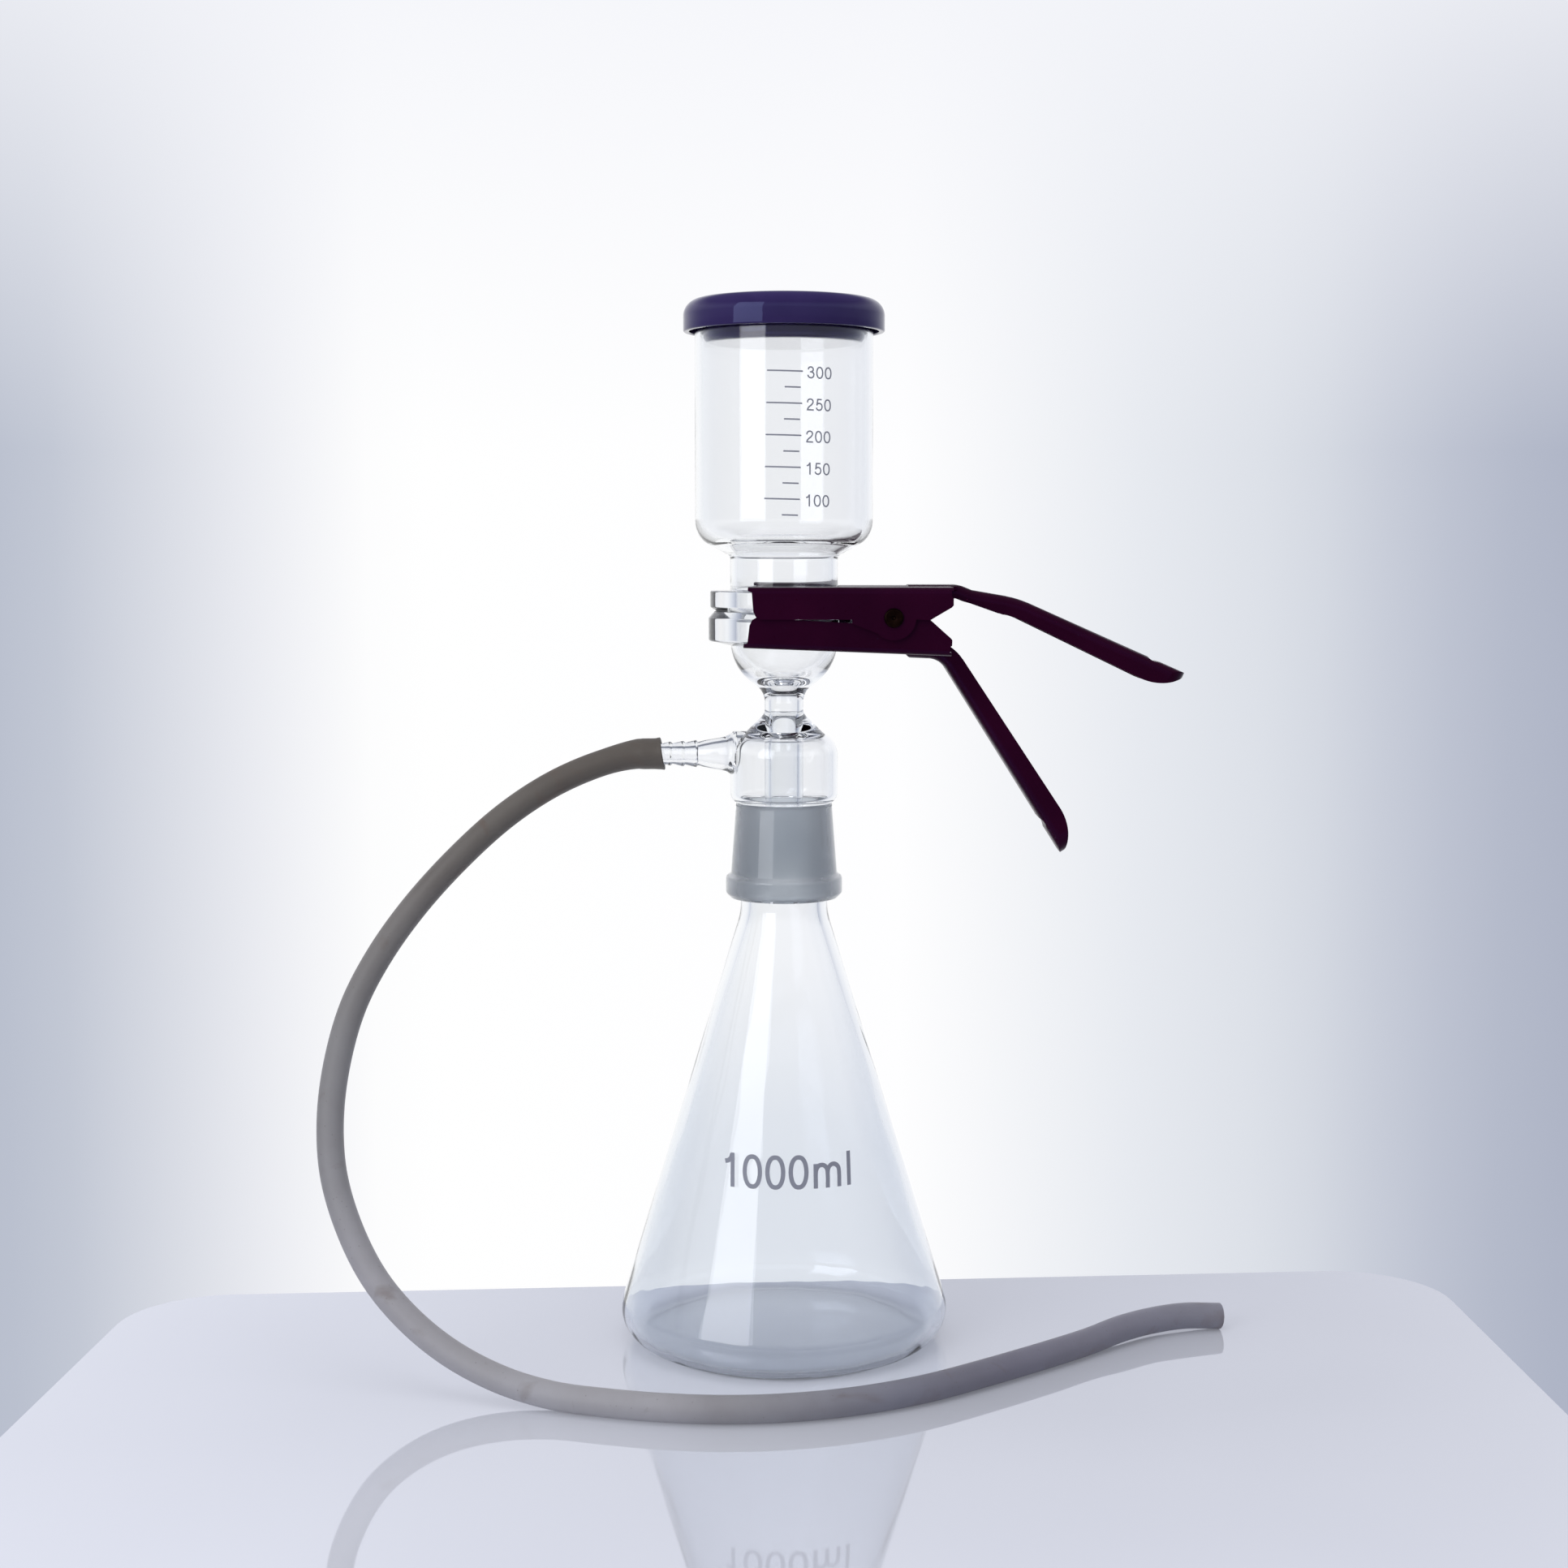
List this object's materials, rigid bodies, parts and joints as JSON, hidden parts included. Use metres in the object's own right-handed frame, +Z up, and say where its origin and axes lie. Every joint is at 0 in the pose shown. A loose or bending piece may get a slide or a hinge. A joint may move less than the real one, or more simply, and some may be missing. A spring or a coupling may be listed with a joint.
{
  "type": "vacuum filtration unit",
  "caption": "Conical glass flask with a ground-joint filter head and barbed vacuum arm, a graduated cup with lid held on by a hinged spring clamp, and a suction hose.",
  "frame": {"origin": "centre of the flask's foot, on the surface that the unit stands on", "axes": "+Z up along the glass axis, +X towards the clamp's handles, -X towards the barbed vacuum arm, +Y to the back"},
  "size_m": [0.3857, 0.1864, 0.4443],
  "materials": {
    "flask_glass": "clear, polished",
    "head_glass": "clear, polished, with a frosted ground joint",
    "cup_glass": "clear, polished",
    "sintered_glass": "white, porous",
    "lid_plastic": "glossy dark violet",
    "anodised_aluminium": "dark aubergine anodised, satin",
    "pin_steel": "dark, riveted",
    "spring_steel": "bright drawn wire",
    "hose_rubber": "smooth grey-beige silicone"
  },
  "bodies": {
    "unit": {"flask": "flask_glass", "filter_head": "head_glass", "sintered_disc": "sintered_glass", "filter_cup": "cup_glass", "lid": "lid_plastic", "clamp_upper_half": "anodised_aluminium", "clamp_pin": "pin_steel", "clamp_spring": "spring_steel", "vacuum_hose": "hose_rubber"},
    "clamp_lower": {"clamp_lower_half": "anodised_aluminium"}
  },
  "joints": [
    {"name": "clamp_hinge", "type": "hinge", "parent": "unit", "child": "clamp_lower", "pos_m": [0.045, 0, 0.3122], "axis": [0, -1, 0], "range_deg": [0, 26], "stiffness_Nm_per_rad": 0.8, "springref_deg": -28.65, "deforming": ["clamp_spring"]}
  ]
}
